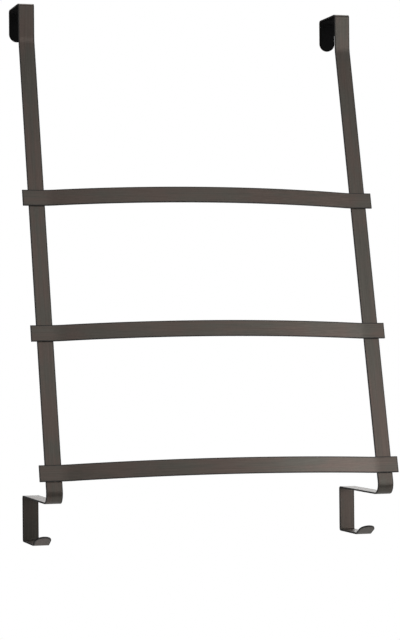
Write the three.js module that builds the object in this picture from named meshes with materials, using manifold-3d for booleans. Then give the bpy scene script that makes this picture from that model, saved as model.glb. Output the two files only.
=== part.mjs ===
// Over-the-door towel rack.
//
// Two uprights, each bent from one flat steel strip, hook over the top of a door and carry three bowed
// bars. A soft liner inside each door hook and a bumper behind each lower leg keep the steel off the
// door. Each bar is held to each upright from behind, by a stud, a washer and a cap nut.
//
// Millimetres. +Z is up and -Y faces the room. The origin is on the top front edge of the door, midway
// between the uprights: the door's top is z = 0 and its front face is y = 0.

import * as THREE from 'three';
import { mergeVertices } from 'three/addons/utils/BufferGeometryUtils.js';
import Module from 'manifold-3d';

// ---------------------------------------------------------------- driving dimensions

const contactGap = 0.3; // left between any two pieces that touch

const upright = {
  spacing: 415, // between the centre lines of the two uprights
  width: 20,
  thickness: 2,
  doorLegDrop: 35, // the back leg's tip, below the door's top
  kinkDrop: 40, // where the front turns into the slope, below the door's top
  slopeAngle: 14.2, // degrees, the slope's lean away from the door
  firstBar: 206, // from the kink down the slope to the top bar's middle
  barPitch: 170, // between neighbouring bars' middles, along the slope
  slopeTail: 36, // from the bottom bar's middle to the foot of the slope
  hookDrop: 55, // from the run back to the door to the lower hook's floor
  hookReach: 60, // from the leg to the lip's bend
  lipLength: 23,
  lipAngle: 28, // degrees above the horizontal
};

// Centre-line radii of the strip's bends.
const bend = { door: 3, kink: 40, foot: 12, leg: 2.5, lip: 6 };

const bar = {
  names: ['bar_top', 'bar_middle', 'bar_bottom'],
  overhang: 7.5, // how far each square end runs past the upright's outer edge
  width: 20,
  thickness: 2,
  bow: 19, // how far the middle stands out from the seats
  seatMargin: 3, // flat seat left beyond the upright's inner edge
};

const door = { thickness: 50 }; // the thickest door that the hooks take

const liner = {
  thickness: 3,
  sideInset: 0.5, // the liner is this much narrower than the strip on each side
  frontDrop: 24, // how far it runs down the door's front
  bendRadius: 4.5, // on its own centre line
};

// A bumper is as thick as the liner, so that the rack hangs upright.
const bumper = { sideInset: 3, endInset: 12.5 }; // from the lower leg's edges and from its two ends

const stud = { diameter: 4, clearance: 0.3, chamfer: 0.5 };
const washer = { rim: 2.5, thickness: 0.8 }; // rim is how much wider than the stud on each side
const capNut = {
  hexWall: 1.5, // from the stud to each flat
  capWall: 1.2, // from the stud to the outside of the round cap
  hexHeight: 3.2,
  capSide: 1.4, // straight wall between the hexagon and the dome
  chamfer: 0.5,
  boreDepth: 5,
  tipClearance: 0.6, // between the stud's end and the bottom of the bore
};

const bendSteps = 6; // facets in a bend
const tipSteps = 20; // facets in a round strip end
const barSteps = 20; // pairs of facets along a bar's bow
const roundSteps = 16; // facets round a stud, washer or hole

// ---------------------------------------------------------------- values that follow from them

const side = upright.spacing / 2;
const standOff = liner.thickness + contactGap; // from the door to the steel
const frontY = -(standOff + upright.thickness / 2); // the front run's centre line
const backY = door.thickness + standOff + upright.thickness / 2;
const topZ = standOff + upright.thickness / 2;
const slope = THREE.MathUtils.degToRad(upright.slopeAngle);
const slopeLength = upright.firstBar + (bar.names.length - 1) * upright.barPitch + upright.slopeTail;
const barLength = upright.spacing + upright.width + 2 * bar.overhang;
const studRadius = stud.diameter / 2;
const holeRadius = studRadius + stud.clearance;

// Where each fixing stands on the slope, measured from the kink.
const barDistances = bar.names.map((_, index) => upright.firstBar + index * upright.barPitch);

// ---------------------------------------------------------------- materials

const bronze = new THREE.MeshStandardMaterial({ color: 0x4b443e, roughness: 0.42, metalness: 0.55 });
const foam = new THREE.MeshStandardMaterial({ color: 0x121212, roughness: 0.95, metalness: 0 });
const rubber = new THREE.MeshStandardMaterial({ color: 0x1b1b1c, roughness: 0.8, metalness: 0 });
const zinc = new THREE.MeshStandardMaterial({ color: 0x9a9a96, roughness: 0.38, metalness: 0.9 });
const darkZinc = new THREE.MeshStandardMaterial({ color: 0x3c3733, roughness: 0.35, metalness: 0.8 });

// ---------------------------------------------------------------- joining and cutting

const wasm = await Module();
wasm.setup();

function toSolid(geometry) {
  const bare = geometry.clone();
  bare.deleteAttribute('normal');
  bare.deleteAttribute('uv');
  const merged = mergeVertices(bare, 1e-5);
  return new wasm.Manifold(new wasm.Mesh({
    numProp: 3,
    vertProperties: new Float32Array(merged.attributes.position.array),
    triVerts: new Uint32Array(merged.index.array),
  }));
}

function toGeometry(solid) {
  const mesh = solid.getMesh();
  const geometry = new THREE.BufferGeometry();
  geometry.setAttribute('position', new THREE.BufferAttribute(mesh.vertProperties, 3));
  geometry.setIndex(new THREE.BufferAttribute(mesh.triVerts, 1));
  geometry.computeVertexNormals();
  return geometry;
}

function cut(body, cutters) {
  return toGeometry(cutters.reduce((left, cutter) => left.subtract(toSolid(cutter)), toSolid(body)));
}

function named(name, geometry, material) {
  const mesh = new THREE.Mesh(geometry, material);
  mesh.name = name;
  return mesh;
}

// ---------------------------------------------------------------- bent strips

// The outline of a strip seen from its edge. Each corner is where two straight stretches of the centre
// line would meet, and radius rounds it. Both faces turn about the same centre.
function stripOutline(corners, thickness) {
  const half = thickness / 2;
  const left = [];
  const right = [];
  const addPair = (point, normal) => {
    left.push(point.clone().addScaledVector(normal, half));
    right.push(point.clone().addScaledVector(normal, -half));
  };
  const normalOf = (direction) => new THREE.Vector2(-direction.y, direction.x);
  corners.forEach((corner, index) => {
    const before = corners[index - 1];
    const after = corners[index + 1];
    if (!before || !after) {
      const from = before ? before.at : corner.at;
      const to = before ? corner.at : after.at;
      addPair(corner.at, normalOf(to.clone().sub(from).normalize()));
      return;
    }
    const arriving = corner.at.clone().sub(before.at).normalize();
    const leaving = after.at.clone().sub(corner.at).normalize();
    const turn = Math.atan2(arriving.cross(leaving), arriving.dot(leaving));
    const toCentre = normalOf(arriving).multiplyScalar(Math.sign(turn) * corner.radius);
    const tangent = corner.radius * Math.tan(Math.abs(turn) / 2);
    const start = corner.at.clone().addScaledVector(arriving, -tangent);
    const centre = start.clone().add(toCentre);
    for (let step = 0; step <= bendSteps; step += 1) {
      const angle = (turn * step) / bendSteps;
      const origin = new THREE.Vector2();
      const spoke = toCentre.clone().negate().rotateAround(origin, angle);
      const normal = normalOf(arriving).rotateAround(origin, angle);
      addPair(centre.clone().add(spoke), normal);
    }
  });
  return new THREE.Shape([...left, ...right.reverse()]);
}

// Draws an outline on the Y-Z plane and gives it a width along X, with its middle on x = 0.
function extrudeAcross(shape, width) {
  const geometry = new THREE.ExtrudeGeometry(shape, { depth: width, bevelEnabled: false });
  geometry.translate(0, 0, -width / 2);
  const axes = new THREE.Matrix4().makeBasis(
    new THREE.Vector3(0, 1, 0),
    new THREE.Vector3(0, 0, 1),
    new THREE.Vector3(1, 0, 0),
  );
  return geometry.applyMatrix4(axes);
}

// The waste that rounds off a strip's end: all that lies outside a half circle as wide as the strip.
// tip is the middle of the end, and direction points out of it along the strip.
function roundEndCutter(tip, direction, width, thickness) {
  const radius = width / 2;
  const spare = 1;
  const shape = new THREE.Shape();
  shape.moveTo(-radius - spare, -radius);
  shape.lineTo(-radius, -radius);
  shape.absarc(0, -radius, radius, Math.PI, 0, true);
  shape.lineTo(radius + spare, -radius);
  shape.lineTo(radius + spare, spare);
  shape.lineTo(-radius - spare, spare);
  shape.closePath();
  const depth = thickness + 2 * spare;
  const settings = { depth, bevelEnabled: false, curveSegments: tipSteps / 2 };
  const geometry = new THREE.ExtrudeGeometry(shape, settings);
  geometry.translate(0, 0, -depth / 2);
  const along = new THREE.Vector3(0, direction.x, direction.y);
  const across = new THREE.Vector3(1, 0, 0);
  const through = new THREE.Vector3().crossVectors(across, along);
  const place = new THREE.Matrix4().makeBasis(across, along, through).setPosition(0, tip.x, tip.y);
  return geometry.applyMatrix4(place);
}

function point(y, z, radius = 0) {
  return { at: new THREE.Vector2(y, z), radius };
}

// A strip bent along its corners, with its two ends square or full round.
function bentStrip(corners, { width, thickness, roundStart = false, roundEnd = false }, holes = []) {
  const cutters = [...holes];
  const addTip = (end, inner) => {
    const direction = end.at.clone().sub(inner.at).normalize();
    cutters.push(roundEndCutter(end.at, direction, width, thickness));
  };
  if (roundStart) addTip(corners[0], corners[1]);
  if (roundEnd) addTip(corners.at(-1), corners.at(-2));
  return cut(extrudeAcross(stripOutline(corners, thickness), width), cutters);
}

// ---------------------------------------------------------------- uprights

const kink = new THREE.Vector2(frontY, -upright.kinkDrop);
const downSlope = new THREE.Vector2(-Math.sin(slope), -Math.cos(slope));

function uprightCorners() {
  const foot = kink.clone().addScaledVector(downSlope, slopeLength);
  const hookFloor = foot.y - upright.hookDrop;
  const lipRoot = frontY - upright.hookReach;
  const rise = THREE.MathUtils.degToRad(upright.lipAngle);
  return [
    point(backY, -upright.doorLegDrop),
    point(backY, topZ, bend.door),
    point(frontY, topZ, bend.door),
    point(kink.x, kink.y, bend.kink),
    point(foot.x, foot.y, bend.foot),
    point(frontY, foot.y, bend.leg),
    point(frontY, hookFloor, bend.leg),
    point(lipRoot, hookFloor, bend.lip),
    point(lipRoot - upright.lipLength * Math.cos(rise), hookFloor + upright.lipLength * Math.sin(rise)),
  ];
}

// A cylinder through the sloping strip at a distance down from the kink, for a fixing hole.
function fixingHole(distance) {
  const middle = kink.clone().addScaledVector(downSlope, distance);
  const drill = new THREE.CylinderGeometry(holeRadius, holeRadius, 3 * upright.thickness, roundSteps);
  drill.rotateX(-slope);
  return drill.translate(0, middle.x, middle.y);
}

function makeUpright(name, x) {
  const ends = { width: upright.width, thickness: upright.thickness, roundStart: true, roundEnd: true };
  const mesh = named(name, bentStrip(uprightCorners(), ends, barDistances.map(fixingHole)), bronze);
  mesh.position.x = x;
  return mesh;
}

// ---------------------------------------------------------------- door protection

function makeDoorLiner(name, x) {
  const half = liner.thickness / 2;
  const corners = [
    point(door.thickness + half, -upright.doorLegDrop),
    point(door.thickness + half, half, liner.bendRadius),
    point(-half, half, liner.bendRadius),
    point(-half, -liner.frontDrop),
  ];
  const width = upright.width - 2 * liner.sideInset;
  const mesh = named(name, bentStrip(corners, { width, thickness: liner.thickness, roundStart: true }), foam);
  mesh.position.x = x;
  return mesh;
}

function makeLegBumper(name, x) {
  const radius = upright.width / 2 - bumper.sideInset;
  const straight = upright.hookDrop / 2 - bumper.endInset - radius;
  const shape = new THREE.Shape();
  shape.absarc(0, straight, radius, 0, Math.PI, false);
  shape.absarc(0, -straight, radius, Math.PI, 2 * Math.PI, false);
  shape.closePath();
  const settings = { depth: liner.thickness, bevelEnabled: false, curveSegments: roundSteps / 4 };
  const geometry = new THREE.ExtrudeGeometry(shape, settings).rotateX(Math.PI / 2);
  const mesh = named(name, geometry, rubber);
  const legTop = kink.y + slopeLength * downSlope.y;
  mesh.position.set(x, 0, legTop - upright.hookDrop / 2);
  return mesh;
}

// ---------------------------------------------------------------- bars

// Seen from above: two flat seats in line, and between them one arc that stands out towards the room.
// The shape's y is the distance from the seats' centre line, negative towards the room.
function barOutline() {
  const half = bar.thickness / 2;
  const end = barLength / 2;
  const span = side - upright.width / 2 - bar.seatMargin;
  const radius = (span * span + bar.bow * bar.bow) / (2 * bar.bow);
  const centreY = radius - bar.bow;
  const meeting = (arcRadius, y) => Math.sqrt(arcRadius ** 2 - (centreY - y) ** 2);
  const frontX = meeting(radius + half, -half);
  const backX = meeting(radius - half, half);
  const frontTurn = Math.asin(frontX / (radius + half));
  const backTurn = Math.asin(backX / (radius - half));
  const outward = -Math.PI / 2;
  const shape = new THREE.Shape();
  shape.moveTo(-end, -half);
  shape.absarc(0, centreY, radius + half, outward - frontTurn, outward + frontTurn, false);
  shape.lineTo(end, -half);
  shape.lineTo(end, half);
  shape.absarc(0, centreY, radius - half, outward + backTurn, outward - backTurn, true);
  shape.lineTo(-end, half);
  shape.closePath();
  return shape;
}

// Everything below is placed in the slope's own frame: its origin is the kink, +Z runs up the slope
// along the strip's centre line, and -Y points out of the slope's front face.
const frontFace = -upright.thickness / 2;
const backFace = upright.thickness / 2;

function makeBar(name, distance) {
  const settings = { depth: bar.width, bevelEnabled: false, curveSegments: barSteps };
  const geometry = new THREE.ExtrudeGeometry(barOutline(), settings);
  const mesh = named(name, geometry, bronze);
  mesh.position.set(0, frontFace - contactGap - bar.thickness / 2, -distance - bar.width / 2);
  return mesh;
}

// ---------------------------------------------------------------- fixings

const washerSeat = backFace + contactGap;
const nutSeat = washerSeat + washer.thickness + contactGap;
const studEnd = nutSeat + capNut.boreDepth - capNut.tipClearance;

function turned(profile) {
  const points = profile.map(([radius, along]) => new THREE.Vector2(radius, along));
  return new THREE.LatheGeometry(points, roundSteps);
}

// The stud stands on the back of the bar, so it starts a contact gap behind it.
function studGeometry() {
  return turned([
    [0, frontFace],
    [studRadius, frontFace],
    [studRadius, studEnd - stud.chamfer],
    [studRadius - stud.chamfer, studEnd],
    [0, studEnd],
  ]);
}

function washerGeometry() {
  const outer = studRadius + washer.rim;
  return turned([
    [holeRadius, 0],
    [outer, 0],
    [outer, washer.thickness],
    [holeRadius, washer.thickness],
    [holeRadius, 0],
  ]);
}

// A hexagon with its corners turned off, a round cap on top, and a blind bore from below.
function capNutGeometry() {
  const flat = studRadius + capNut.hexWall;
  const corner = flat / Math.cos(Math.PI / 6);
  const capRadius = studRadius + capNut.capWall;
  const shoulder = capNut.hexHeight + capNut.capSide;
  const hexagon = new THREE.CylinderGeometry(corner, corner, capNut.hexHeight, 6);
  hexagon.translate(0, capNut.hexHeight / 2, 0);
  const corners = turned([
    [0, 0],
    [corner - capNut.chamfer, 0],
    [corner, capNut.chamfer],
    [corner, capNut.hexHeight - capNut.chamfer],
    [corner - capNut.chamfer, capNut.hexHeight],
    [0, capNut.hexHeight],
  ]);
  const cap = [[0, capNut.hexHeight / 2], [capRadius, capNut.hexHeight / 2]];
  for (let step = 0; step < bendSteps; step += 1) {
    const angle = (step / bendSteps) * (Math.PI / 2);
    cap.push([capRadius * Math.cos(angle), shoulder + capRadius * Math.sin(angle)]);
  }
  cap.push([0, shoulder + capRadius]);
  const bore = new THREE.CylinderGeometry(holeRadius, holeRadius, 2 * capNut.boreDepth, roundSteps);
  const body = toSolid(hexagon).intersect(toSolid(corners)).add(toSolid(turned(cap)));
  return toGeometry(body.subtract(toSolid(bore)));
}

function makeFixing(place, x, distance) {
  const pieces = [
    [named(`stud_${place}`, studGeometry(), zinc), 0],
    [named(`washer_${place}`, washerGeometry(), darkZinc), washerSeat],
    [named(`cap_nut_${place}`, capNutGeometry(), darkZinc), nutSeat],
  ];
  return pieces.map(([mesh, y]) => {
    mesh.position.set(x, y, -distance);
    return mesh;
  });
}

// ---------------------------------------------------------------- the rack

const rack = new THREE.Group();
const slopeFrame = new THREE.Group();
slopeFrame.position.set(0, kink.x, kink.y);
slopeFrame.rotation.x = -slope;
rack.add(slopeFrame);

for (const [hand, x] of [['left', -side], ['right', side]]) {
  rack.add(makeUpright(`upright_${hand}`, x));
  rack.add(makeDoorLiner(`door_liner_${hand}`, x));
  rack.add(makeLegBumper(`leg_bumper_${hand}`, x));
  bar.names.forEach((name, index) => {
    const place = `${name.replace('bar_', '')}_${hand}`;
    slopeFrame.add(...makeFixing(place, x, barDistances[index]));
  });
}

bar.names.forEach((name, index) => slopeFrame.add(makeBar(name, barDistances[index])));

export default rack;
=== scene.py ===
# %% [markdown]
# # A towel rack that hangs over a door
#
# The rack is made the way a small metal workshop makes it: flat steel strip is cut, folded, drilled,
# rounded at the ends and given a dark bronze finish. Each step here follows a step at the bench, so a
# blank is a ribbon of faces, a fold is a spin, and a filed edge is a bevel.
#
# The imported design is loaded first. It fixes every size and place, so the new pieces only have to
# follow it. Its own box is kept, and the lights aim at its middle.

# %% Load the frame
import math

import bmesh
import bpy
from mathutils import Matrix, Quaternion, Vector


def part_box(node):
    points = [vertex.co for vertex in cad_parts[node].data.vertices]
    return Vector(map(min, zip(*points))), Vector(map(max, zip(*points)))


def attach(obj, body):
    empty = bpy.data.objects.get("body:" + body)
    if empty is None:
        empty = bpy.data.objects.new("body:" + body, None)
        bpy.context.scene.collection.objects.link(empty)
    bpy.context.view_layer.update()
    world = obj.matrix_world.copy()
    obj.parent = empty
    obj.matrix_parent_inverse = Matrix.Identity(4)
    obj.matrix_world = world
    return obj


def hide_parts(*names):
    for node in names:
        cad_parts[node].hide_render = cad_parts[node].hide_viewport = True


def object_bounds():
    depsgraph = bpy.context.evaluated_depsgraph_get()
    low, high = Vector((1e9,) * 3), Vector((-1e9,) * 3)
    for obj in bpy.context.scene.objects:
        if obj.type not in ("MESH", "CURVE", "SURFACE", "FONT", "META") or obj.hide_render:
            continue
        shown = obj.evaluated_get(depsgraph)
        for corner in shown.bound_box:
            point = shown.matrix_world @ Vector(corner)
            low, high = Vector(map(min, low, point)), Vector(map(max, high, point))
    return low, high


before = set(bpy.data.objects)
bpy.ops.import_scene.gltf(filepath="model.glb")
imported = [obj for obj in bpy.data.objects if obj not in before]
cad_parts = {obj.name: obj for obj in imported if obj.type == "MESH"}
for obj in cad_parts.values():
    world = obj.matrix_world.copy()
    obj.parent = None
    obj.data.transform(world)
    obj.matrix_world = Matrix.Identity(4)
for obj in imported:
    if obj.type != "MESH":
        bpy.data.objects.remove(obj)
cad_low, cad_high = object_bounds()
MM = 0.001
print("nodes", len(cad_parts), "size in mm", [round(s / MM, 1) for s in cad_high - cad_low])

# %% [markdown]
# ## Sizes
#
# Most sizes are read from the boxes of the design's nodes. The door's front face is y = 0 and its top
# is z = 0, so the liner's own box tells its thickness. What a box can't tell, such as the thickness
# of a leaning strip or the radius of a bend, is a named value here.

# %% Sizes
HANDS = ("left", "right")
LEVELS = ("top", "middle", "bottom")
CONTACT_GAP = 0.3 * MM
STRIP_THICKNESS = 2.0 * MM
SLOPE = math.radians(14.2)
DOOR_LEG_DROP = 35.0 * MM
BEND_DROP = 40.0 * MM
HOOK_DROP = 55.0 * MM
HOOK_REACH = 60.0 * MM
LIP_LENGTH = 23.0 * MM
LIP_RISE = math.radians(28.0)
LINER_FRONT_DROP = 24.0 * MM


def node_middle(node):
    """The middle of a node's box."""
    low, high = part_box(node)
    return (low + high) / 2


upright_low, upright_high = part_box("upright_left")
liner_low, liner_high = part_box("door_liner_left")
upright_x = {hand: node_middle(f"upright_{hand}").x for hand in HANDS}
strip_width = upright_high.x - upright_low.x
liner_thickness = -liner_low.y
front_y = -(liner_thickness + CONTACT_GAP + STRIP_THICKNESS / 2)
back_y = upright_high.y - STRIP_THICKNESS / 2
top_z = upright_high.z - STRIP_THICKNESS / 2
hook_floor_z = upright_low.z + STRIP_THICKNESS / 2
foot_z = hook_floor_z + HOOK_DROP
print("strip", round(strip_width / MM, 2), "wide, liner", round(liner_thickness / MM, 2), "thick")

# %% [markdown]
# ## Where the slope runs
#
# Below a gentle kink the uprights lean out into the room, and the three bars sit on that slope. Its
# own axes are handy: `across` runs along a bar, `out` points away from the front face, and `up`
# climbs the slope. A matrix made of them drops anything built in them onto the slope.

# %% Slope axes
across = Vector((1, 0, 0))
out = Vector((0, -math.cos(SLOPE), math.sin(SLOPE)))
up = Vector((0, math.sin(SLOPE), math.cos(SLOPE)))
kink_point = Vector((0, front_y, -BEND_DROP))
foot_point = kink_point - up * ((kink_point.z - foot_z) / math.cos(SLOPE))
bar_drop = {level: (kink_point - node_middle(f"stud_{level}_left")).dot(up) for level in LEVELS}


def placed(origin, first, second, third):
    """A matrix that takes x, y and z to three directions, and zero to an origin."""
    turn = Matrix((first, second, third)).transposed()
    return Matrix.Translation(origin) @ turn.to_4x4()


def on_slope(x, drop):
    """The point of the uprights' centre plane at that x, a distance down the slope from the kink."""
    return kink_point + across * x - up * drop


print("bars down the slope, in mm", {level: round(d / MM, 1) for level, d in bar_drop.items()})

# %% [markdown]
# ## Folding a ribbon
#
# A strip is one long ribbon of faces that changes direction. Starting from a single edge as wide as
# the strip, `extrude_edge_only` pulls out each straight run, and `spin` turns the edge about a bend's
# centre. The ribbon lies on one *surface* of the strip rather than in its middle, so that it can be
# given its thickness to one side later. A bend's centre is the same for both surfaces, and the spin
# finds the right radius by itself.
#
# A fold plan is easiest to read as a list of the corners that the straight runs would meet at. Each
# bend then eats a little of the run on both sides.

# %% Fold plans and ribbons
STEP_ANGLE = math.radians(6)
STEP_LENGTH = 8.0 * MM
FEWEST_STEPS = 4


def plan_from_corners(corners, radii):
    """Turns a list of (y, z) corners into runs: (straight length, turn after it, bend radius)."""
    points = [Vector(c) for c in corners]
    legs = [b - a for a, b in zip(points, points[1:])]
    plan, eaten = [], 0.0
    for leg, following, radius in zip(legs, legs[1:], radii):
        turn = -leg.angle_signed(following)
        bite = radius * math.tan(abs(turn) / 2)
        plan.append((leg.length - eaten - bite, turn, radius))
        eaten = bite
    plan.append((legs[-1].length - eaten, 0.0, 0.0))
    return points[0], math.atan2(legs[0].y, legs[0].x), plan


def folded_ribbon(width, start, heading, plan, lift):
    """Pulls an edge along a plan in the y-z plane. It runs lift to the left of the strip's middle."""
    bm = bmesh.new()
    here = Vector((0, *start))
    left = first_left = Vector((0, -math.sin(heading), math.cos(heading)))
    ends = [bm.verts.new(here + left * lift + Vector((side * width / 2, 0, 0))) for side in (-1, 1)]
    edge = bm.edges.new(ends)
    for length, turn, radius in plan:
        ahead = Vector((0, math.cos(heading), math.sin(heading)))
        left = Vector((0, -math.sin(heading), math.cos(heading)))
        if length:
            pulled = bmesh.ops.extrude_edge_only(bm, edges=[edge])["geom"]
            edge = next(g for g in pulled if isinstance(g, bmesh.types.BMEdge))
            bmesh.ops.translate(bm, verts=edge.verts[:], vec=ahead * length)
            here = here + ahead * length
        if turn:
            centre = here + left * math.copysign(radius, turn)
            steps = max(FEWEST_STEPS, math.ceil(abs(turn) / STEP_ANGLE),
                        math.ceil(abs(turn) * radius / STEP_LENGTH))
            swung = bmesh.ops.spin(bm, geom=[edge, *edge.verts], cent=centre, axis=(1, 0, 0),
                                   angle=turn, steps=steps)["geom_last"]
            edge = next(g for g in swung if isinstance(g, bmesh.types.BMEdge))
            here = centre + Matrix.Rotation(turn, 3, "X") @ (here - centre)
            heading += turn
    bm.normal_update()
    if next(iter(bm.faces)).normal.dot(first_left) < 0:
        bmesh.ops.reverse_faces(bm, faces=bm.faces[:])
    return bm


trial = folded_ribbon(20 * MM, (0, 0), 0.0, [(50 * MM, math.radians(90), 10 * MM), (30 * MM, 0, 0)], 0.0)
highest = max((v.co for v in trial.verts), key=lambda point: point.z)
print("a right-angled trial ribbon ends at", [round(c / MM, 1) for c in highest], "mm")
trial.free()

# %% [markdown]
# ## From ribbon to strip
#
# The rest is the same for every strip. The corners at its two ends are rounded by bevelling the corner
# *vertices*: by half the width for a full round end, or by less for soft corners. A drilled hole is a
# circle in a face whose outline is filled again around it. `solidify` then gives the ribbon its
# thickness, and the sharp edges are broken with a small bevel.
#
# The last step insets the broad faces a little way in from their edges. Nothing moves, but the new
# loop lets the finish know how near an edge it is: `rim` is 1 at the edge and fades to 0 at the loop.

# %% Strip helpers
ROUND_STEPS = 14
ROUND_SHARE = 0.4995
EDGE_STEPS = 3
SHARP_ANGLE = math.radians(50)
SAME_LENGTH = 0.001 * MM
SAME_POINT = 0.02 * MM


def round_ribbon_ends(bm, width, radii):
    """Rounds the first and the last end of a ribbon. Its end edges lie across it with one face each.

    A full round end uses a hair less than half of the width, because two bevels can't quite meet.
    """
    ends = [e for e in bm.edges if len(e.link_faces) == 1 and abs(e.calc_length() - width) < SAME_LENGTH]
    for corners, radius in zip([list(e.verts) for e in ends], radii):
        bmesh.ops.bevel(bm, geom=corners, affect="VERTICES", offset=min(radius, width * ROUND_SHARE),
                        segments=ROUND_STEPS, profile=0.5, material=-1)
    bmesh.ops.remove_doubles(bm, verts=bm.verts, dist=SAME_POINT)


def drill(bm, centres, direction, radius):
    """Opens round holes in the flat face that holds these centres."""
    turn = direction.to_track_quat("Z", "Y").to_matrix().to_4x4()
    middle = sum(centres, Vector()) / len(centres)
    face = min(bm.faces, key=lambda f: (f.calc_center_median() - middle).length)
    other = next(f for f in bm.faces if f != face)
    looks = other.normal.copy()
    outline = set(face.edges)
    bmesh.ops.delete(bm, geom=[face], context="FACES_ONLY")
    for centre in centres:
        hole = bmesh.ops.create_circle(bm, segments=2 * ROUND_STEPS, radius=radius,
                                       matrix=Matrix.Translation(centre) @ turn)
        outline |= {e for v in hole["verts"] for e in v.link_edges}
    bmesh.ops.triangle_fill(bm, edges=list(outline), use_beauty=True, normal=direction)
    bmesh.ops.recalc_face_normals(bm, faces=bm.faces)
    if other.normal.dot(looks) < 0:
        bmesh.ops.reverse_faces(bm, faces=bm.faces[:])


def thicken(bm, thickness):
    """Gives a surface its thickness, behind its faces. It flags the broad faces and returns the flag."""
    flag = bm.faces.layers.int.new("broad")
    surface = bm.faces[:]
    made = bmesh.ops.solidify(bm, geom=surface, thickness=thickness)["geom"]
    broad = set(surface) | {g for g in made if isinstance(g, bmesh.types.BMFace)}
    for face in bm.faces:
        face[flag] = face in broad
    return flag


def break_edges(bm, size, flag=None, steps=EDGE_STEPS):
    """Bevels every sharp edge. The new faces aren't broad ones."""
    sharp = [e for e in bm.edges if len(e.link_faces) == 2 and e.calc_face_angle() > SHARP_ANGLE]
    made = bmesh.ops.bevel(bm, geom=sharp, affect="EDGES", offset=size, segments=steps,
                           profile=0.5, material=-1, clamp_overlap=True)
    for face in made["faces"] if flag else ():
        face[flag] = 0


def mark_rim(bm, flag, width):
    """Insets the broad faces, and writes rim: 1 along their edges and 0 inside the inset."""
    rim = bm.verts.layers.float.new("rim")
    broad = [f for f in bm.faces if f[flag]]
    bmesh.ops.inset_region(bm, faces=broad, thickness=width, use_even_offset=True, use_boundary=True)
    inner = {v for f in broad for v in f.verts}
    for v in bm.verts:
        v[rim] = 0.0 if v in inner else 1.0


def checked(bm, name):
    """Stops at a mesh that isn't closed or has its inside out."""
    open_edges = sum(len(e.link_faces) != 2 for e in bm.edges)
    volume = bm.calc_volume(signed=True) / MM ** 3
    print(f"{name}: {len(bm.faces)} faces, {volume:.0f} cubic mm, open edges {open_edges}")
    assert not open_edges and volume > 0, name
    return bm


# %% [markdown]
# ## The two uprights
#
# Each upright is one length of strip. It comes up behind the door, goes over it and down the front,
# leans out, turns back to the door in a wide bend, drops, and comes forward again as a hook with a
# lip. Following the corners in that order gives the fold plan. The back leg and the lip end in a
# full round, and three holes in the slope take the studs of the bars.

# %% Make an upright
DOOR_BEND = 3.0 * MM
UPRIGHT_BENDS = [DOOR_BEND, DOOR_BEND, 40.0 * MM, 12.0 * MM, 2.5 * MM, 2.5 * MM, 6.0 * MM]
STRIP_EDGE = 0.35 * MM
RIM_WIDTH = 1.5 * MM
STUD_RADIUS = 2.0 * MM
STUD_HOLE_RADIUS = STUD_RADIUS + CONTACT_GAP

lip_foot = Vector((front_y - HOOK_REACH, hook_floor_z))
upright_corners = [
    (back_y, -DOOR_LEG_DROP),
    (back_y, top_z),
    (front_y, top_z),
    kink_point.yz,
    foot_point.yz,
    (front_y, foot_z),
    (front_y, hook_floor_z),
    lip_foot,
    lip_foot + LIP_LENGTH * Vector((-math.cos(LIP_RISE), math.sin(LIP_RISE))),
]


def upright(x):
    """One upright, at that x."""
    start, heading, plan = plan_from_corners(upright_corners, UPRIGHT_BENDS)
    bm = folded_ribbon(strip_width, start, heading, plan, STRIP_THICKNESS / 2)
    round_ribbon_ends(bm, strip_width, (strip_width / 2, strip_width / 2))
    inner_face = -out * STRIP_THICKNESS / 2
    drill(bm, [on_slope(0, bar_drop[level]) + inner_face for level in LEVELS], -out, STUD_HOLE_RADIUS)
    flag = thicken(bm, STRIP_THICKNESS)
    break_edges(bm, STRIP_EDGE, flag)
    mark_rim(bm, flag, RIM_WIDTH)
    bmesh.ops.translate(bm, verts=bm.verts, vec=(x, 0, 0))
    return bm


# %% [markdown]
# ## The three bars
#
# A bar lies flat on both uprights and bows out between them, so that a towel hangs clear of the door.
# It is folded the same way: a flat seat, a slight kink, one long arc, a kink back and the other seat.
# The arc's radius follows from its chord and from how far it bows. The bar is folded lying down, then
# a matrix stands it on the slope. Its ends are sawn square and only deburred, like its long edges.

# %% Make a bar
BAR_BOW = 19.0 * MM
SEAT_MARGIN = 3.0 * MM
SEAT_BEND = 80.0 * MM
BAR_LIFT = STRIP_THICKNESS + CONTACT_GAP

bar_low, bar_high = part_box("bar_top")
bar_length = bar_high.x - bar_low.x
bow_half = upright_x["right"] - strip_width / 2 - SEAT_MARGIN
bow_radius = (bow_half ** 2 + BAR_BOW ** 2) / (2 * BAR_BOW)
both_radii = bow_radius + SEAT_BEND
bend_centre = math.sqrt(BAR_BOW * (2 * both_radii - BAR_BOW))
bow_turn = math.asin(bend_centre / both_radii)
seat_length = bar_length / 2 - bend_centre
print("bow radius", round(bow_radius / MM), "mm, seat", round(seat_length / MM, 1), "mm long")


def bar(level):
    """One bar, on the slope. Its bow and the bends beside it are circles that touch."""
    plan = [(seat_length, bow_turn, SEAT_BEND), (0, -2 * bow_turn, bow_radius),
            (0, bow_turn, SEAT_BEND), (seat_length, 0, 0)]
    bm = folded_ribbon(strip_width, (-bar_length / 2, 0), 0.0, plan, STRIP_THICKNESS / 2)
    flag = thicken(bm, STRIP_THICKNESS)
    break_edges(bm, STRIP_EDGE, flag)
    mark_rim(bm, flag, RIM_WIDTH)
    seat_middle = on_slope(0, bar_drop[level]) + out * BAR_LIFT
    bmesh.ops.transform(bm, verts=bm.verts, matrix=placed(seat_middle, -up, across, out))
    return bm


# %% [markdown]
# ## The liners
#
# A strip of black foam inside each door hook keeps the metal off the paint. Foam doesn't crease, so
# it takes the two corners in wider bends than the strip does, and its cut edges are soft. It is
# folded, rounded and thickened with the same helpers, only with other numbers.

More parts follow.
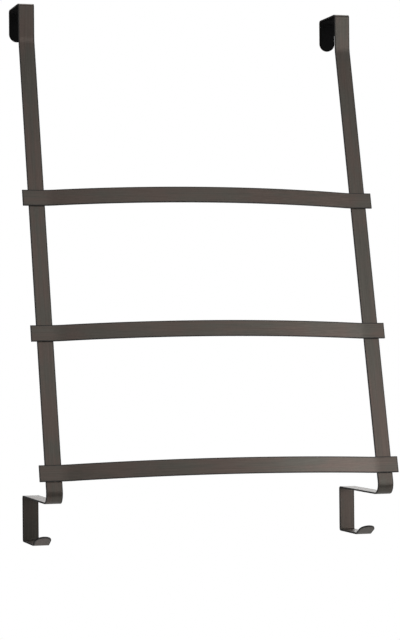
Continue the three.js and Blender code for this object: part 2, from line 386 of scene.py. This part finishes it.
# %% Make a liner
LINER_BEND = 4.5 * MM
LINER_EDGE = 1.0 * MM
LINER_CORNER = 3.0 * MM
LINER_RIM = 1.2 * MM
SOFT_STEPS = 5

liner_width = liner_high.x - liner_low.x
liner_front_y = -liner_thickness / 2
liner_back_y = liner_high.y - liner_thickness / 2
liner_corners = [
    (liner_front_y, -LINER_FRONT_DROP),
    (liner_front_y, liner_thickness / 2),
    (liner_back_y, liner_thickness / 2),
    (liner_back_y, liner_low.z),
]


def liner(x):
    """The foam inside one door hook."""
    start, heading, plan = plan_from_corners(liner_corners, [LINER_BEND, LINER_BEND])
    bm = folded_ribbon(liner_width, start, heading, plan, liner_thickness / 2)
    round_ribbon_ends(bm, liner_width, (LINER_CORNER, liner_width / 2))
    flag = thicken(bm, liner_thickness)
    break_edges(bm, LINER_EDGE, flag, SOFT_STEPS)
    mark_rim(bm, flag, LINER_RIM)
    bmesh.ops.translate(bm, verts=bm.verts, vec=(x, 0, 0))
    return bm


# %% [markdown]
# ## The leg bumpers
#
# Low on each upright, a rubber pad keeps the leg off the door. It is a moulded stadium: a rectangle
# whose corners are rounded by half its width. The face that touches the door has a generous edge and
# a shallow moulded groove, made by insetting the face twice and pushing the last loop in.

# %% Make a bumper
BUMPER_EDGE = 0.9 * MM
BUMPER_BACK_EDGE = 0.2 * MM
FINE_STEPS = 2
GROOVE_INSETS = ((2.0 * MM, 0.0), (0.5 * MM, -0.5 * MM), (0.9 * MM, 0.0), (0.5 * MM, 0.5 * MM))


def bumper(hand):
    """A pad as big as its design's box, with its groove towards the door."""
    low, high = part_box(f"leg_bumper_{hand}")
    size = high - low
    bm = bmesh.new()
    bmesh.ops.create_grid(bm, x_segments=1, y_segments=1, size=0.5)
    bmesh.ops.scale(bm, verts=bm.verts, vec=(size.x, size.z, 1))
    bmesh.ops.bevel(bm, geom=bm.verts[:], affect="VERTICES", offset=size.x * ROUND_SHARE,
                    segments=ROUND_STEPS, profile=0.5, material=-1)
    bmesh.ops.remove_doubles(bm, verts=bm.verts, dist=SAME_POINT)
    bmesh.ops.solidify(bm, geom=bm.faces[:], thickness=size.y)
    bmesh.ops.recalc_face_normals(bm, faces=bm.faces)
    door_side = max(v.co.z for v in bm.verts)
    door_face = max(bm.faces, key=lambda f: f.calc_center_median().z)
    bmesh.ops.bevel(bm, geom=door_face.edges[:], affect="EDGES", offset=BUMPER_EDGE,
                    segments=SOFT_STEPS, profile=0.5, material=-1)
    break_edges(bm, BUMPER_BACK_EDGE, steps=FINE_STEPS)
    level_faces = [f for f in bm.faces if f.calc_center_median().z > door_side - SAME_LENGTH]
    door_face = max(level_faces, key=lambda f: f.calc_area())
    for inset, depth in GROOVE_INSETS:
        bmesh.ops.inset_region(bm, faces=[door_face], thickness=inset, depth=depth, use_even_offset=True)
    back_to_door = placed((low + high) / 2, Vector((1, 0, 0)), Vector((0, 0, -1)), Vector((0, 1, 0)))
    bmesh.ops.translate(bm, verts=bm.verts, vec=(0, 0, size.y / 2 - door_side))
    bmesh.ops.transform(bm, verts=bm.verts, matrix=back_to_door)
    return bm


# %% [markdown]
# ## Studs, washers and cap nuts
#
# Nothing shows on a bar's front, so it is held from behind: a threaded stud on the bar's back goes
# through the upright, and a washer and a cap nut close it. A stud and a washer are turned on a lathe,
# and `spin` is Blender's lathe: half of the section goes round the axis once. The first and last
# points of the stud's section lie on the axis, while the washer's section is a closed loop.
#
# The fixings are drawn with z along the stud, from the slope's centre plane to the back.

# %% Turn a stud and a washer
TURN_STEPS = 40
STUD_START = -1.0 * MM
STUD_LENGTH = 7.8 * MM
THREAD_PITCH = 0.7 * MM
THREAD_DEPTH = 0.4 * MM
PLAIN_TIP = 1.5 * THREAD_PITCH
WASHER_OUTER = STUD_RADIUS + 2.5 * MM
WASHER_THICKNESS = 0.8 * MM
WASHER_EDGE = 0.15 * MM
WASHER_SEAT = STRIP_THICKNESS / 2 + CONTACT_GAP
NUT_SEAT = WASHER_SEAT + WASHER_THICKNESS + CONTACT_GAP


def turned(section, closed=False):
    """Spins (radius, z) points once round the z axis."""
    bm = bmesh.new()
    points = [bm.verts.new((r, 0, z)) for r, z in section]
    pairs = list(zip(points, points[1:])) + ([(points[-1], points[0])] if closed else [])
    edges = [bm.edges.new(pair) for pair in pairs]
    bmesh.ops.spin(bm, geom=points + edges, cent=(0, 0, 0), axis=(0, 0, 1), angle=math.tau,
                   steps=TURN_STEPS, use_merge=True)
    bmesh.ops.remove_doubles(bm, verts=bm.verts, dist=SAME_LENGTH)
    bmesh.ops.recalc_face_normals(bm, faces=bm.faces)
    return bm


def stud():
    """A thread drawn as rings, which looks the same as a helix at this size."""
    root = STUD_RADIUS - THREAD_DEPTH
    end = STUD_START + STUD_LENGTH
    section = [(0, STUD_START), (STUD_RADIUS, STUD_START)]
    z = STUD_START + THREAD_PITCH
    while z < end - PLAIN_TIP:
        section += [(STUD_RADIUS, z), (root, z + THREAD_PITCH / 2)]
        z += THREAD_PITCH
    section += [(STUD_RADIUS, z), (root, end), (0, end)]
    return turned(section)


def washer():
    """A flat ring with broken edges."""
    bm = turned([(STUD_HOLE_RADIUS, WASHER_SEAT), (WASHER_OUTER, WASHER_SEAT),
                 (WASHER_OUTER, WASHER_SEAT + WASHER_THICKNESS),
                 (STUD_HOLE_RADIUS, WASHER_SEAT + WASHER_THICKNESS)], closed=True)
    break_edges(bm, WASHER_EDGE, steps=FINE_STEPS)
    return bm


# %% [markdown]
# A cap nut is part hexagon and part dome, so a lathe alone can't make it. It grows from loops of edges
# instead. The hexagon's loop is pulled up for the flats, and a circle set in its top face is pulled
# up for the cap. Shrinking and lifting that circle a few times closes the dome at a pole. A circle in
# the bottom face goes up the same way for the blind bore.

# %% Make a cap nut
NUT_FLAT = STUD_RADIUS + 1.5 * MM
NUT_CORNER = NUT_FLAT / math.cos(math.pi / 6)
HEX_HEIGHT = 3.2 * MM
NUT_CHAMFER = 0.5 * MM
NUT_EDGE = 0.1 * MM
CAP_RADIUS = STUD_RADIUS + 1.2 * MM
CAP_SIDE = 1.4 * MM
BORE_DEPTH = 5.0 * MM
DOME_STEPS = 9
POLE_SHARE = 1e-5
NUT_MERGE = 0.002 * MM
CORNER_SHARE = 0.999


def ring(bm, z, radius, segments):
    """A level loop of edges round the axis."""
    made = bmesh.ops.create_circle(bm, segments=segments, radius=radius,
                                   matrix=Matrix.Translation((0, 0, z)))
    return list({e for v in made["verts"] for e in v.link_edges})


def pull(bm, edges, z, scale=1.0):
    """Extrudes a loop of edges to a new height, and scales it about the axis."""
    made = bmesh.ops.extrude_edge_only(bm, edges=edges)["geom"]
    points = [g for g in made if isinstance(g, bmesh.types.BMVert)]
    bmesh.ops.scale(bm, verts=points, vec=(scale, scale, 1))
    bmesh.ops.translate(bm, verts=points, vec=(0, 0, z - points[0].co.z))
    return [g for g in made if isinstance(g, bmesh.types.BMEdge)], points


def cap_nut():
    """A hexagon with a dome on it and a blind bore in it."""
    bm = bmesh.new()
    low_hexagon = ring(bm, 0, NUT_CORNER, 6)
    high_hexagon, _ = pull(bm, low_hexagon, HEX_HEIGHT)
    bore = ring(bm, 0, STUD_HOLE_RADIUS, TURN_STEPS)
    cap = ring(bm, HEX_HEIGHT, CAP_RADIUS, TURN_STEPS)
    bmesh.ops.triangle_fill(bm, edges=low_hexagon + bore, use_beauty=True, normal=(0, 0, 1))
    bmesh.ops.triangle_fill(bm, edges=high_hexagon + cap, use_beauty=True, normal=(0, 0, 1))
    bore, _ = pull(bm, bore, BORE_DEPTH)
    bmesh.ops.contextual_create(bm, geom=bore)
    shoulder = HEX_HEIGHT + CAP_SIDE
    cap, points = pull(bm, cap, shoulder)
    shrunk = 1.0
    for step in range(1, DOME_STEPS + 1):
        angle = step / DOME_STEPS * math.pi / 2
        wanted = max(math.cos(angle), POLE_SHARE)
        cap, points = pull(bm, cap, shoulder + CAP_RADIUS * math.sin(angle), wanted / shrunk)
        shrunk = wanted
    bmesh.ops.pointmerge(bm, verts=points, merge_co=(0, 0, shoulder + CAP_RADIUS))
    bmesh.ops.recalc_face_normals(bm, faces=bm.faces)
    corners = [v for v in bm.verts if v.co.xy.length > NUT_CORNER * CORNER_SHARE]
    bmesh.ops.bevel(bm, geom=corners, affect="VERTICES", offset=NUT_CHAMFER, segments=1,
                    profile=0.5, material=-1)
    break_edges(bm, NUT_EDGE, steps=FINE_STEPS)
    bmesh.ops.remove_doubles(bm, verts=bm.verts, dist=NUT_MERGE)
    bmesh.ops.translate(bm, verts=bm.verts, vec=(0, 0, NUT_SEAT))
    return bm


# %% [markdown]
# ## Nodes in few words
#
# Every finish here is procedural: a small tree of nodes that works out colour, roughness and relief
# from the point's own coordinates. Two helpers keep the trees readable. `add` makes a node and sets or
# links its inputs in one go, and `blank_group` starts a node group with named sockets. A group is
# built once and placed in each material with its own values.

# %% Node helpers
def add(tree, kind, inputs=None, **settings):
    """Makes a node. An input's value is a number, a colour, or another node's output to link to."""
    node = tree.nodes.new(kind)
    for name, value in settings.items():
        setattr(node, name, value)
    for name, value in (inputs or {}).items():
        if isinstance(value, bpy.types.NodeSocket):
            tree.links.new(value, node.inputs[name])
        else:
            node.inputs[name].default_value = value
    return node


def math_node(tree, operation, first, second):
    """The result of a sum on two values."""
    return add(tree, "ShaderNodeMath", {0: first, 1: second}, operation=operation).outputs[0]


def spread(tree, value, low, high, to_low=0.0, to_high=1.0):
    """Maps a value from one range to another, with soft ends, and clamps it."""
    ranges = {"Value": value, "From Min": low, "From Max": high, "To Min": to_low, "To Max": to_high}
    return add(tree, "ShaderNodeMapRange", ranges, interpolation_type="SMOOTHSTEP").outputs["Result"]


def noise(tree, vector, scale, detail=2.0, **inputs):
    """Soft random values. They change faster where the scale is higher."""
    inputs.update(Vector=vector, Scale=scale, Detail=detail)
    return add(tree, "ShaderNodeTexNoise", inputs).outputs["Fac"]


def mix_colour(tree, factor, first, second):
    """The first colour where the factor is 0, and the second where it is 1."""
    return add(tree, "ShaderNodeMix", {"Factor": factor, "A": first, "B": second},
               data_type="RGBA").outputs["Result"]


def blank_group(name, inputs, outputs):
    """A node group with sockets: {name: (type, default)} in, and a list of value outputs."""
    group = bpy.data.node_groups.new(name, "ShaderNodeTree")
    for label, (kind, default) in inputs.items():
        socket = group.interface.new_socket(label, in_out="INPUT", socket_type=f"NodeSocket{kind}")
        socket.default_value = default
    for label in outputs:
        group.interface.new_socket(label, in_out="OUTPUT", socket_type="NodeSocketFloat")
    return group, group.nodes.new("NodeGroupInput").outputs, group.nodes.new("NodeGroupOutput").inputs


def use_group(tree, group, inputs):
    """Places a group in a tree and returns its outputs."""
    return add(tree, "ShaderNodeGroup", inputs, node_tree=group).outputs


def blank_material(name, **constants):
    """A material whose Principled shader gets its constants on its own sockets."""
    material = bpy.data.materials.new(name)
    material.use_nodes = True
    tree = material.node_tree
    shader = next(n for n in tree.nodes if n.type == "BSDF_PRINCIPLED")
    for label, value in constants.items():
        shader.inputs[label.replace("_", " ")].default_value = value
    place = add(tree, "ShaderNodeTexCoord").outputs["Object"]
    return material, tree, shader, place


def raise_grain(tree, shader, height, strength, distance):
    """A bump: the surface looks raised where height is more, by up to about the distance."""
    bump = add(tree, "ShaderNodeBump", {"Height": height, "Strength": strength, "Distance": distance})
    tree.links.new(bump.outputs["Normal"], shader.inputs["Normal"])


# %% [markdown]
# ## Shared effects
#
# Rolled strip keeps faint lines along its length, and its finish is a little uneven from hand to hand.
# The `streaks` group is noise whose scale is high across the strip and low along it. Coordinates are
# in metres, so a scale of 1000 repeats about every millimetre. The edge group turns the rim value of
# the mesh into a mask of painted shade along the edges, with a broken outline so that it never stops at
# a ruled line, and into small spots of real wear on the very edge. The
# `settled_dust` group finds faces that look up.

# %% Effect groups
BAND_SCALE = 0.13
CLOUD_SCALE = 22.0
GRIT_SCALE = 260.0
SPECK_SCALE = 420.0

streaks, g_in, g_out = blank_group("streaks", {
    "Coordinates": ("Vector", (0, 0, 0)), "Stretch": ("Vector", (1, 1, 1)), "Roughness": ("Float", 0.6)},
    ["Lines", "Bands", "Clouds"])
stretched = add(streaks, "ShaderNodeMapping",
                {"Vector": g_in["Coordinates"], "Scale": g_in["Stretch"]}).outputs[0]
lines = noise(streaks, stretched, 1.0, 5.0, Roughness=g_in["Roughness"])
bands = noise(streaks, stretched, BAND_SCALE, 3.0)
clouds = noise(streaks, g_in["Coordinates"], CLOUD_SCALE, 3.0, Distortion=0.4)
for socket, value in zip(g_out, (lines, bands, clouds)):
    streaks.links.new(value, socket)

edge_shade_and_wear, g_in, g_out = blank_group("edge_shade_and_wear", {
    "Coordinates": ("Vector", (0, 0, 0)), "Reach": ("Float", 0.6), "Breakup": ("Float", 0.25)},
    ["Mask", "Worn"])
rim = add(edge_shade_and_wear, "ShaderNodeAttribute", attribute_name="rim").outputs["Fac"]
grit = noise(edge_shade_and_wear, g_in["Coordinates"], GRIT_SCALE, 4.0)
wobble = math_node(edge_shade_and_wear, "MULTIPLY", math_node(edge_shade_and_wear, "SUBTRACT", grit, 0.5), g_in["Breakup"])
level = math_node(edge_shade_and_wear, "ADD", rim, wobble)
# Mask: painted shade along the edges, broken up by grit. Worn: spots of real wear on the very edge.
edge_shade_mask = spread(edge_shade_and_wear, level, math_node(edge_shade_and_wear, "SUBTRACT", 1.0, g_in["Reach"]), 0.8)
spots = spread(edge_shade_and_wear, grit, 0.62, 0.72)
worn = math_node(edge_shade_and_wear, "MULTIPLY", spread(edge_shade_and_wear, rim, 0.9, 1.0), spots)
for socket, value in zip(g_out, (edge_shade_mask, worn)):
    edge_shade_and_wear.links.new(value, socket)

settled_dust, g_in, g_out = blank_group("settled_dust", {
    "Coordinates": ("Vector", (0, 0, 0)), "Amount": ("Float", 0.3)}, ["Mask"])
surface_normal = add(settled_dust, "ShaderNodeNewGeometry").outputs["Normal"]
facing = add(settled_dust, "ShaderNodeSeparateXYZ", {"Vector": surface_normal})
specks = noise(settled_dust, g_in["Coordinates"], SPECK_SCALE, 6.0)
lying = math_node(settled_dust, "MULTIPLY", spread(settled_dust, facing.outputs["Z"], 0.6, 0.98),
                  spread(settled_dust, specks, 0.3, 0.75))
settled_dust.links.new(math_node(settled_dust, "MULTIPLY", lying, g_in["Amount"]), g_out["Mask"])
print("effect groups", [g.name for g in bpy.data.node_groups])

# %% [markdown]
# ## Satin bronze
#
# The strip has a satin dark bronze finish, between brown and grey-green. Along its edges the colour is
# painted nearly black, as painted shade for the dark outline that light gives a strip's edges, and there
# the metal and the coat are turned down; a few spots on the very edge show worn metal. It is partly
# metallic, with a thin clear coat on top whose soft gloss is neutral in colour. The uprights and the
# bars are the same finish, but their streaks run in different directions, so the function takes the
# stretch: fine across the strip and slow along it.

# %% Bronze
BROWN = (0.102, 0.076, 0.063, 1)
GREY_GREEN = (0.086, 0.078, 0.065, 1)
# Painted shade: the near-black colour laid along the strip's edges.
PAINTED_EDGE_SHADE = (0.010, 0.009, 0.008, 1)
WORN_METAL = (0.30, 0.25, 0.20, 1)
DUST = (0.42, 0.40, 0.37, 1)
METAL_SHARE = 0.75
COAT_SHARE = 0.25
PEEL_SCALE = 900.0


def bronze(name, stretch):
    """The strip's finish. Its fine lines follow the axis with the smallest stretch."""
    material, tree, shader, place = blank_material(name, IOR=1.5, Coat_Roughness=0.30, Coat_IOR=1.5)
    grain = use_group(tree, streaks, {"Coordinates": place, "Stretch": stretch, "Roughness": 0.65})
    edge = use_group(tree, edge_shade_and_wear, {"Coordinates": place, "Reach": 0.8, "Breakup": 0.35})
    dust = use_group(tree, settled_dust, {"Coordinates": place, "Amount": 0.10})
    patches = math_node(tree, "ADD", math_node(tree, "MULTIPLY", grain["Clouds"], 0.6),
                        math_node(tree, "MULTIPLY", grain["Bands"], 0.4))
    colour = mix_colour(tree, spread(tree, patches, 0.38, 0.62), GREY_GREEN, BROWN)
    shade = spread(tree, grain["Lines"], 0.3, 0.7, 0.80, 1.15)
    colour = add(tree, "ShaderNodeMix", {"Factor": 1.0, "A": colour, "B": shade}, data_type="RGBA",
                 blend_type="MULTIPLY").outputs["Result"]
    # Painted shade: the edges are darkened nearly to black, in place of the dark outline that light gives
    # them.
    colour = mix_colour(tree, math_node(tree, "MULTIPLY", edge["Mask"], 0.92), colour, PAINTED_EDGE_SHADE)
    colour = mix_colour(tree, math_node(tree, "MULTIPLY", edge["Worn"], 0.25), colour, WORN_METAL)
    colour = mix_colour(tree, dust["Mask"], colour, DUST)
    tree.links.new(colour, shader.inputs["Base Color"])
    open_face = math_node(tree, "SUBTRACT", 1.0, edge["Mask"])
    tree.links.new(math_node(tree, "MULTIPLY", open_face, METAL_SHARE), shader.inputs["Metallic"])
    tree.links.new(math_node(tree, "MULTIPLY", open_face, COAT_SHARE), shader.inputs["Coat Weight"])
    rough = math_node(tree, "ADD", spread(tree, grain["Lines"], 0.25, 0.75, 0.34, 0.44),
                      math_node(tree, "MULTIPLY", edge["Mask"], 0.2))
    tree.links.new(math_node(tree, "ADD", rough, dust["Mask"]), shader.inputs["Roughness"])
    peel = math_node(tree, "MULTIPLY", noise(tree, place, PEEL_SCALE), 0.6)
    raise_grain(tree, shader, math_node(tree, "ADD", grain["Lines"], peel), 0.12, 0.12 * MM)
    return material


upright_bronze = bronze("satin_bronze_upright", (1400, 16, 16))
bar_bronze = bronze("satin_bronze_bar", (16, 350, 1400))

# %% [markdown]
# ## Foam, rubber and fixings
#
# The liner is fine closed-cell foam: nearly black, matt, and pitted where cells were cut through. The
# bumper is smooth black rubber with a dull bloom. The studs are bright zinc, and the washers and cap
# nuts have a dark plating. Both platings are one function with other tones, since plating is always a
# little cloudy and a little satin.

# %% Foam, rubber and plating
CELL_SCALE = 1500.0
FOAM_MOTTLE_SCALE = 180.0
BLOOM_SCALE = 120.0
RUBBER_SKIN_SCALE = 2200.0
PLATING_CLOUD_SCALE = 380.0
PLATING_SKIN_SCALE = 3000.0
ROUGHNESS_SPAN = 0.14


def black_foam():
    """Cut cells are pits. Their colour is painted darker in the pits as painted shade, a little lighter at
    their walls, with a random mottle.
    """
    material, tree, shader, place = blank_material("black_foam", IOR=1.45, Specular_IOR_Level=0.1)
    cells = add(tree, "ShaderNodeTexVoronoi", {"Vector": place, "Scale": CELL_SCALE}).outputs["Distance"]
    mottle = noise(tree, place, FOAM_MOTTLE_SCALE, 4.0)
    # Painted shade in the cut pits: the colour is darker where the bump is lowest, times a random mottle.
    pit_shade_and_mottle = math_node(tree, "MULTIPLY", spread(tree, cells, 0.1, 0.7), mottle)
    colour = mix_colour(tree, pit_shade_and_mottle, (0.0035, 0.0035, 0.0035, 1), (0.012, 0.012, 0.0125, 1))
    dust = use_group(tree, settled_dust, {"Coordinates": place, "Amount": 0.04})
    tree.links.new(mix_colour(tree, dust["Mask"], colour, DUST), shader.inputs["Base Color"])
    tree.links.new(spread(tree, mottle, 0.3, 0.7, 0.82, 0.95), shader.inputs["Roughness"])
    raise_grain(tree, shader, pit_shade_and_mottle, 0.5, 0.3 * MM)
    return material


def black_rubber():
    """A smooth moulded skin with cloudy patches."""
    material, tree, shader, place = blank_material("black_rubber", IOR=1.52, Specular_IOR_Level=0.4)
    bloom = noise(tree, place, BLOOM_SCALE, 5.0)
    colour = mix_colour(tree, spread(tree, bloom, 0.35, 0.7),
                        (0.010, 0.010, 0.010, 1), (0.024, 0.024, 0.025, 1))
    tree.links.new(colour, shader.inputs["Base Color"])
    tree.links.new(spread(tree, bloom, 0.3, 0.7, 0.50, 0.64), shader.inputs["Roughness"])
    raise_grain(tree, shader, noise(tree, place, RUBBER_SKIN_SCALE), 0.2, 0.1 * MM)
    return material


def plated(name, low, high, roughness, metallic):
    """A plated finish: cloudy colour between two tones, and a fine satin skin."""
    material, tree, shader, place = blank_material(name, Metallic=metallic, IOR=1.5)
    clouds = noise(tree, place, PLATING_CLOUD_SCALE, 4.0)
    tree.links.new(mix_colour(tree, spread(tree, clouds, 0.35, 0.65), low, high),
                   shader.inputs["Base Color"])
    tree.links.new(spread(tree, clouds, 0.3, 0.7, roughness, roughness + ROUGHNESS_SPAN),
                   shader.inputs["Roughness"])
    raise_grain(tree, shader, noise(tree, place, PLATING_SKIN_SCALE), 0.15, 0.08 * MM)
    return material


foam = black_foam()
rubber = black_rubber()
zinc = plated("bright_zinc", (0.52, 0.53, 0.54, 1), (0.66, 0.67, 0.68, 1), 0.28, 1.0)
dark_plating = plated("dark_plating", (0.035, 0.033, 0.031, 1), (0.065, 0.060, 0.055, 1), 0.34, 0.85)
print("materials", [m.name for m in (upright_bronze, bar_bronze, foam, rubber, zinc, dark_plating)])

# %% [markdown]
# ## Putting the rack together
#
# Each bmesh becomes an object at the origin, with its place in its mesh, and takes over from its node
# of the design. Smooth shading alone would bend the light over flat faces, so a Weighted Normal
# modifier lets the large faces keep their own direction and leaves the turning to the small bevels.

# %% Make the pieces
FLAT_FACE_WEIGHT = 100

piece_faces = {}
misfit = {}


def finish_piece(name, bm, material, node):
    """Makes the object that stands for a node of the design, and notes how far their boxes differ."""
    checked(bm, name)
    design_low, design_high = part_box(node)
    for axis in range(3):
        places = [v.co[axis] for v in bm.verts]
        misfit[name] = max(misfit.get(name, 0), abs(min(places) - design_low[axis]),
                           abs(max(places) - design_high[axis]))
    mesh = bpy.data.meshes.new(name)
    bm.to_mesh(mesh)
    bm.free()
    mesh.shade_smooth()
    mesh.materials.append(material)
    piece = bpy.data.objects.new(name, mesh)
    bpy.context.scene.collection.objects.link(piece)
    piece.modifiers.new("flat_faces", "WEIGHTED_NORMAL").weight = FLAT_FACE_WEIGHT
    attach(piece, "root")
    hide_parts(node)
    piece_faces[name] = len(mesh.polygons)
    return piece


for hand in HANDS:
    x = upright_x[hand]
    finish_piece(f"folded_upright_{hand}", upright(x), upright_bronze, f"upright_{hand}")
    pad = finish_piece(f"foam_liner_{hand}", liner(x), foam, f"door_liner_{hand}")
    finish_piece(f"rubber_bumper_{hand}", bumper(hand), rubber, f"leg_bumper_{hand}")

for level in LEVELS:
    finish_piece(f"bowed_bar_{level}", bar(level), bar_bronze, f"bar_{level}")

FIXINGS = (
    ("threaded_stud", stud, zinc, "zinc_stud", "stud"),
    ("flat_washer", washer, dark_plating, "dark_fixing", "washer"),
    ("domed_nut", cap_nut, dark_plating, "dark_fixing", "cap_nut"),
)
for level in LEVELS:
    for hand in HANDS:
        backwards = placed(on_slope(upright_x[hand], bar_drop[level]), -across, up, -out)
        for name, make, material, slot, node in FIXINGS:
            bm = make()
            bmesh.ops.transform(bm, verts=bm.verts, matrix=backwards)
            finish_piece(f"{name}_{level}_{hand}", bm, material, f"{node}_{level}_{hand}")
print(len(piece_faces), "pieces with", sum(piece_faces.values()), "faces")
worst = max(misfit, key=misfit.get)
print("largest difference from a node's own box:", worst, round(misfit[worst] / MM, 2), "mm")

# %% [markdown]
# ## Floor, light and camera
#
# The rack hangs in the air, so the studio is simple: a pale floor at the foot of the door, a plain
# light surround, and large soft lights. Satin metal shows what it faces, which makes the size and place
# of the lights as much a part of its look as its colour is. The upright faces look forwards and the
# slope looks a little upwards, so one large light to the right and one high in front give them
# slightly different tones, and a third lights the tops from behind.
#
# What the metal sees of the surround is dim in front and darker below, and bright only behind, above
# the horizon and to the right. The strips' cut edges and undersides then read as dark lines, while the
# level floors of the hooks catch a highlight. The camera itself sees plain white.

# %% Floor and surround
DOOR_HEIGHT = 2.03
FLOOR_RADIUS = 2.2
FLOOR_SIDES = 96
FLOOR_TONES = (0.86, 0.855, 0.85, 1), (0.90, 0.895, 0.89, 1)
LOW_GLOW = 0.1
FRONT_GLOW = 0.22
BACK_GLOW = 1.4
WHITE = (1, 1, 1, 1)

floor_bm = bmesh.new()
bmesh.ops.create_circle(floor_bm, cap_ends=True, segments=FLOOR_SIDES, radius=FLOOR_RADIUS,
                        matrix=Matrix.Translation((0, 0, -DOOR_HEIGHT)))
floor_mesh = bpy.data.meshes.new("floor")
floor_bm.to_mesh(floor_mesh)
floor_bm.free()
floor_material, tree, shader, place = blank_material("pale_floor", Roughness=0.7)
tree.links.new(mix_colour(tree, noise(tree, place, 3.0), *FLOOR_TONES), shader.inputs["Base Color"])
floor_mesh.materials.append(floor_material)
floor = bpy.data.objects.new("floor", floor_mesh)
bpy.context.scene.collection.objects.link(floor)

world = bpy.data.worlds.new("white_surround")
bpy.context.scene.world = world
world.use_nodes = True
tree = world.node_tree
tree.nodes.clear()
seen = add(tree, "ShaderNodeLightPath").outputs["Is Camera Ray"]
outward = add(tree, "ShaderNodeTexCoord").outputs["Generated"]
direction = add(tree, "ShaderNodeSeparateXYZ", {"Vector": outward})
behind = spread(tree, direction.outputs["Y"], -0.6, 0.9)
right = spread(tree, direction.outputs["X"], -0.15, 0.35)
above = spread(tree, direction.outputs["Z"], -0.08, 0.08)
bright = math_node(tree, "MULTIPLY", math_node(tree, "MULTIPLY", behind, right), above)
dim = spread(tree, direction.outputs["Z"], -0.9, 0.1, LOW_GLOW, FRONT_GLOW)
glow = math_node(tree, "ADD", math_node(tree, "MULTIPLY", bright, BACK_GLOW), dim)
shining = add(tree, "ShaderNodeBackground", {"Color": WHITE, "Strength": glow})
shown = add(tree, "ShaderNodeBackground", {"Color": WHITE, "Strength": 1.0})
both = add(tree, "ShaderNodeMixShader", {0: seen, 1: shining.outputs[0], 2: shown.outputs[0]})
add(tree, "ShaderNodeOutputWorld", {"Surface": both.outputs[0]})
bpy.context.scene.view_settings.view_transform = "Standard"

# %% Lights
rack_middle = (cad_low + cad_high) / 2


def softbox(name, azimuth, elevation, distance, width, height, brightness):
    """A large light that looks at the rack. Azimuth 0 is straight in front, and grows to the right."""
    turn, lift = math.radians(azimuth), math.radians(elevation)
    direction = Vector((math.sin(turn) * math.cos(lift), -math.cos(turn) * math.cos(lift), math.sin(lift)))
    light = bpy.data.lights.new(name, "AREA")
    light.shape = "RECTANGLE"
    light.size, light.size_y = width, height
    light.energy = brightness * math.pi * width * height
    lamp = bpy.data.objects.new(name, light)
    lamp.location = rack_middle + direction * distance
    lamp.rotation_mode = "QUATERNION"
    lamp.rotation_quaternion = direction.to_track_quat("Z", "Y")
    bpy.context.scene.collection.objects.link(lamp)


softbox("right_softbox", azimuth=43, elevation=3, distance=3.0, width=1.5, height=2.0, brightness=3.4)
softbox("front_softbox", azimuth=5, elevation=28, distance=3.0, width=2.4, height=1.2, brightness=1.0)
softbox("top_softbox", azimuth=170, elevation=65, distance=2.4, width=2.0, height=1.6, brightness=1.5)

# %% [markdown]
# The camera stands to the left of the rack, about level with its middle, and looks very slightly up.
# A long lens keeps the uprights nearly parallel.

# %% Camera
LENS, SENSOR = 121.66, 36.0
CAMERA_PLACE = (-0.75206, -2.63054, -0.41752)
HEADING, PITCH, ROLL = (math.radians(a) for a in (16.24, 0.617, -0.555))

camera_data = bpy.data.cameras.new("camera")
camera_data.sensor_width = SENSOR
camera_data.lens = LENS
camera = bpy.data.objects.new("camera", camera_data)
bpy.context.scene.collection.objects.link(camera)
looking = Vector((math.sin(HEADING) * math.cos(PITCH),
                  math.cos(HEADING) * math.cos(PITCH), math.sin(PITCH)))
camera.location = CAMERA_PLACE
camera.rotation_mode = "QUATERNION"
camera.rotation_quaternion = looking.to_track_quat("-Z", "Y") @ Quaternion((0, 0, 1), ROLL)
bpy.context.scene.camera = camera

# %% [markdown]
# ## Finish
#
# The view layer is brought up to date. The finished rack has to fill the same box as
# the design.

# %% Finish
bpy.context.view_layer.update()
